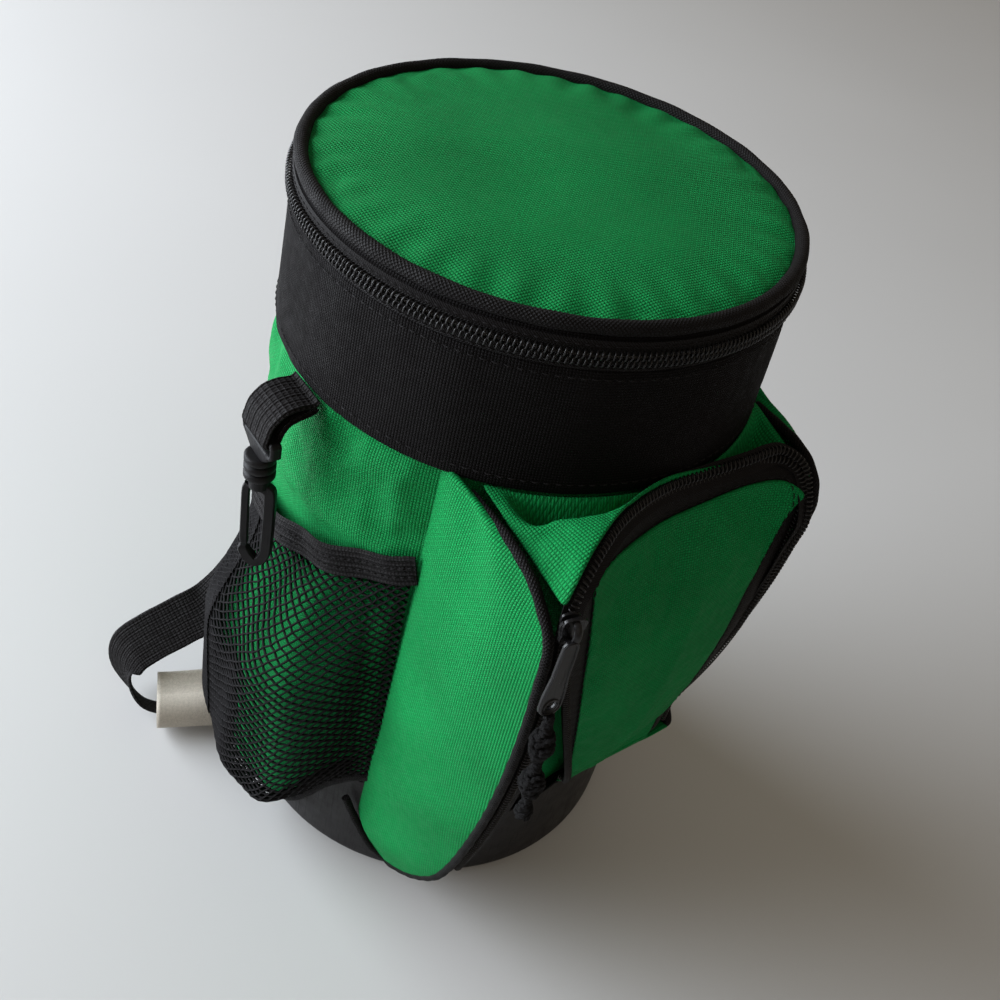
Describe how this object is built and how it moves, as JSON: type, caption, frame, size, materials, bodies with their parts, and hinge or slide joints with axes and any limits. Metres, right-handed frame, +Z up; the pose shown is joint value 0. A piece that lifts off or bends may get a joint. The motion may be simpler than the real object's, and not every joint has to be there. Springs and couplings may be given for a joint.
{
  "type": "insulated cooler bag",
  "caption": "Round insulated cooler bag with a zipped lid, front zip pocket, mesh side pocket, swivel snap hook and carrying strap.",
  "frame": {"origin": "centre of the base's underside, on the floor", "axes": "+Z up along the bag's axis, the front pocket faces -Y, +X is to the right seen from the front"},
  "size_m": [0.2078, 0.2138, 0.2844],
  "materials": {
    "base_vinyl": "smooth matt black vinyl",
    "green_weave": "plain weave polyester, slight sheen",
    "black_weave": "plain weave polyester, matt",
    "black_webbing": "ribbed webbing and woven cord, matt",
    "black_mesh": "open knitted mesh, matt",
    "coil_nylon": "glossy nylon coil",
    "slider_black": "satin black enamel",
    "hook_plastic": "moulded, satin",
    "liner_silver": "thin waterproof film, satin",
    "foam": "closed cell foam",
    "board_grey": "stiff board",
    "label_white": "satin woven label, blank"
  },
  "bodies": {
    "root": {"base_cup": "base_vinyl", "base_board": "board_grey", "base_foam": "foam", "body_shell": "green_weave", "wall_foam": "foam", "inner_liner": "liner_silver", "collar_band": "black_weave", "collar_zip_coil": "coil_nylon", "collar_zip_tape": "black_webbing", "lid_hinge_web": "black_weave", "pocket_left_panel": "green_weave", "pocket_right_panel": "green_weave", "pocket_left_piping": "black_webbing", "pocket_right_piping": "black_webbing", "pocket_top_gusset": "green_weave", "pocket_floor": "green_weave", "pocket_zip_coil": "coil_nylon", "pocket_zip_tape_left": "black_webbing", "pocket_zip_tape_right": "black_webbing", "mesh_pocket": "black_mesh", "mesh_rear_strip": "black_mesh", "mesh_elastic": "black_webbing"},
    "lid": {"lid_zip_coil": "coil_nylon", "lid_zip_tape": "black_webbing", "lid_side_band": "black_weave", "lid_piping": "black_webbing", "lid_top_panel": "green_weave", "lid_foam": "foam", "lid_liner": "liner_silver"},
    "lid_slider": {"lid_slider": "slider_black"},
    "lid_puller": {"lid_puller": "slider_black"},
    "pocket_flap": {"flap_panel": "green_weave", "flap_zip_tape": "black_webbing", "flap_zip_coil": "coil_nylon"},
    "pocket_slider": {"pocket_slider": "slider_black"},
    "pocket_puller": {"pocket_puller": "slider_black"},
    "puller_cord": {"puller_cord": "black_webbing"},
    "clip_tab": {"clip_webbing": "black_webbing", "clip_frame": "hook_plastic"},
    "clip_hook": {"clip_barrel": "hook_plastic", "clip_hook": "hook_plastic"},
    "clip_gate": {"clip_gate": "hook_plastic"},
    "strap": {"carrying_strap": "black_webbing", "care_label": "label_white"}
  },
  "joints": [
    {"name": "lid_hinge", "type": "hinge", "parent": "root", "child": "lid", "pos_m": [0, 0.0845, 0.273], "axis": [-1, 0, 0], "range_deg": [0, 110]},
    {"name": "lid_slider_run", "type": "hinge", "parent": "root", "child": "lid_slider", "pos_m": [0, 0, 0.273], "axis": [0, 0, 1], "range_deg": [-270, 0]},
    {"name": "lid_puller_swing", "type": "hinge", "parent": "lid_slider", "child": "lid_puller", "pos_m": [0.0635, 0.0635, 0.272], "axis": [0.7071, -0.7071, 0], "range_deg": [0, 150]},
    {"name": "pocket_flap_hinge", "type": "hinge", "parent": "root", "child": "pocket_flap", "pos_m": [0, -0.087, 0.0675], "axis": [1, 0, 0], "range_deg": [0, 100]},
    {"name": "pocket_slider_run", "type": "hinge", "parent": "root", "child": "pocket_slider", "pos_m": [0, 0.289, 0.165], "axis": [1, 0, 0], "range_deg": [0, 19.5]},
    {"name": "pocket_puller_swing", "type": "hinge", "parent": "pocket_slider", "child": "pocket_puller", "pos_m": [-0.0586, -0.11629, 0.206], "axis": [-1, 0, 0], "range_deg": [0, 120]},
    {"name": "puller_cord_swing", "type": "hinge", "parent": "pocket_puller", "child": "puller_cord", "pos_m": [-0.0586, -0.11882, 0.17711], "axis": [-1, 0, 0], "range_deg": [-5, 60]},
    {"name": "clip_tab_swing", "type": "hinge", "parent": "root", "child": "clip_tab", "pos_m": [-0.0845, -0.004, 0.221], "axis": [0, 1, 0], "range_deg": [0, 60]},
    {"name": "clip_swivel", "type": "hinge", "parent": "clip_tab", "child": "clip_hook", "pos_m": [-0.098, -0.004, 0.2012], "axis": [0, 0, 1], "continuous": true},
    {"name": "clip_gate_flex", "type": "hinge", "parent": "clip_hook", "child": "clip_gate", "pos_m": [-0.10097, -0.00132, 0.1879], "axis": [-0.6691, -0.7431, 0], "range_deg": [0, 9]},
    {"name": "strap_swing", "type": "hinge", "parent": "root", "child": "strap", "pos_m": [-0.07787, 0.03306, 0.0092], "axis": [0.3384, 0.2335, 0.9116], "range_deg": [-8, 4]}
  ]
}
